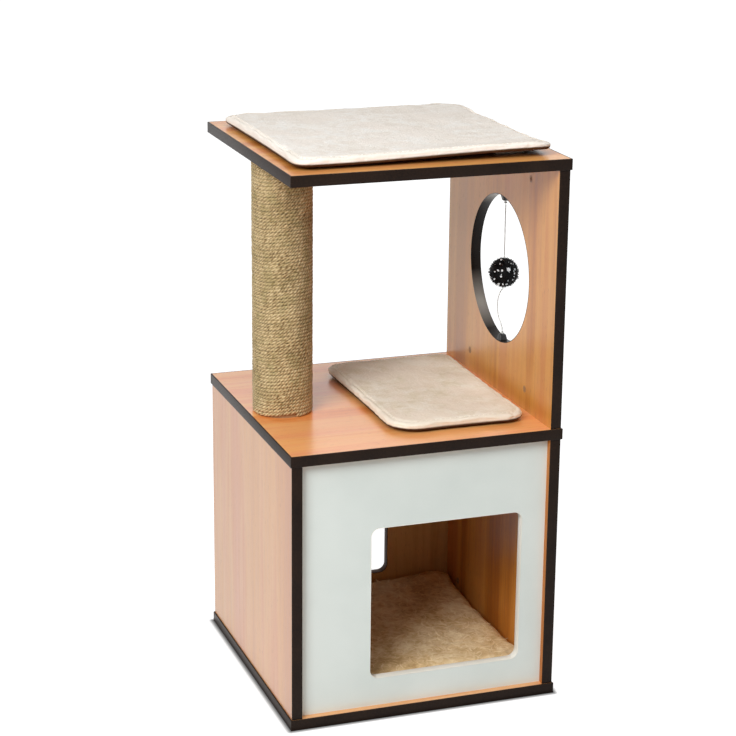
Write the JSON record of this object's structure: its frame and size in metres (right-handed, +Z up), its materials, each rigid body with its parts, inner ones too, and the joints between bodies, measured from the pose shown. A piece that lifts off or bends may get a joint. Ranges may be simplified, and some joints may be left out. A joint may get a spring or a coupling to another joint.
{
  "type": "cat condo",
  "caption": "Cat condo: wood-laminate cabin with a pass-through opening, deck, sisal scratching post, upright panel with a ball toy hung in a round hole, top platform and loose cushions.",
  "frame": {"origin": "middle of the base panel's underside, on the floor", "axes": "+Z up, the pale front panel faces -Y, the upright panel stands on the +X side"},
  "size_m": [0.402, 0.396, 0.7851],
  "materials": {
    "wood_laminate": "satin laminate with straight orange-tan grain",
    "dark_edging": "dark brown edge banding, satin",
    "pale_laminate": "pale grey-green laminate, satin",
    "pale_edging": "off-white edge banding, satin",
    "tube_card": "plain wound card",
    "beech": "raw turned wood",
    "zinc_steel": "zinc plated",
    "sisal": "twisted natural sisal rope",
    "cream_fleece": "short cream fleece",
    "beige_fleece": "short beige fleece with a pale edge",
    "beige_plush": "curled beige plush",
    "loop_tape": "loop tape",
    "hook_tape": "hook tape",
    "black_plastic": "moulded black plastic",
    "toy_tinsel": "black tinsel pile with bright flecks",
    "string_cord": "thin pale grey string"
  },
  "bodies": {
    "condo": {"base_panel": "wood_laminate", "left_side_panel": "wood_laminate", "right_side_panel": "wood_laminate", "deck_panel": "wood_laminate", "upright_panel": "wood_laminate", "top_platform": "wood_laminate", "back_panel": "wood_laminate", "base_edge_band": "dark_edging", "left_side_edge_band": "dark_edging", "right_side_edge_band": "dark_edging", "deck_edge_band": "dark_edging", "upright_edge_band": "dark_edging", "upright_hole_band": "dark_edging", "platform_edge_band": "dark_edging", "back_opening_band": "dark_edging", "front_panel": "pale_laminate", "front_opening_band": "pale_edging", "post_tube": "tube_card", "post_top_plug": "beech", "post_bottom_plug": "beech", "side_dowels": "beech", "upright_dowels": "beech", "panel_dowels": "beech", "post_inserts": "zinc_steel", "post_top_bolt": "zinc_steel", "post_bottom_bolt": "zinc_steel", "side_cam_nuts": "zinc_steel", "side_cam_bolts": "zinc_steel", "upright_cam_nuts": "zinc_steel", "upright_cam_bolts": "zinc_steel", "sisal_rope": "sisal", "top_hook_pads": "hook_tape", "deck_hook_pads": "hook_tape", "upper_string_clip": "black_plastic", "lower_string_clip": "black_plastic", "lower_knot": "string_cord", "lower_string_end": "string_cord"},
    "top_cushion": {"top_cushion": "cream_fleece", "top_loop_pads": "loop_tape"},
    "deck_cushion": {"deck_cushion": "beige_fleece", "deck_loop_pads": "loop_tape"},
    "cabin_cushion": {"cabin_cushion": "beige_plush"},
    "toy_swing": {"upper_knot": "string_cord", "lower_string_top": "string_cord"},
    "toy_ball": {"upper_string": "string_cord", "toy_ball": "toy_tinsel"}
  },
  "joints": [
    {"name": "top_cushion_lift", "type": "slide", "parent": "condo", "child": "top_cushion", "axis": [0, 0, 1], "range_m": [0, 0.1]},
    {"name": "deck_cushion_lift", "type": "slide", "parent": "condo", "child": "deck_cushion", "axis": [0, 0, 1], "range_m": [0, 0.1]},
    {"name": "cabin_cushion_lift", "type": "slide", "parent": "condo", "child": "cabin_cushion", "axis": [0, 0, 1], "range_m": [0, 0.1]},
    {"name": "toy_swing_through", "type": "hinge", "parent": "condo", "child": "toy_swing", "pos_m": [0.1855, 0, 0.6702], "axis": [0, 1, 0], "range_deg": [-10, 10]},
    {"name": "toy_swing_along", "type": "hinge", "parent": "toy_swing", "child": "toy_ball", "pos_m": [0.1855, 0, 0.6702], "axis": [1, 0, 0], "range_deg": [-10, 10]}
  ]
}
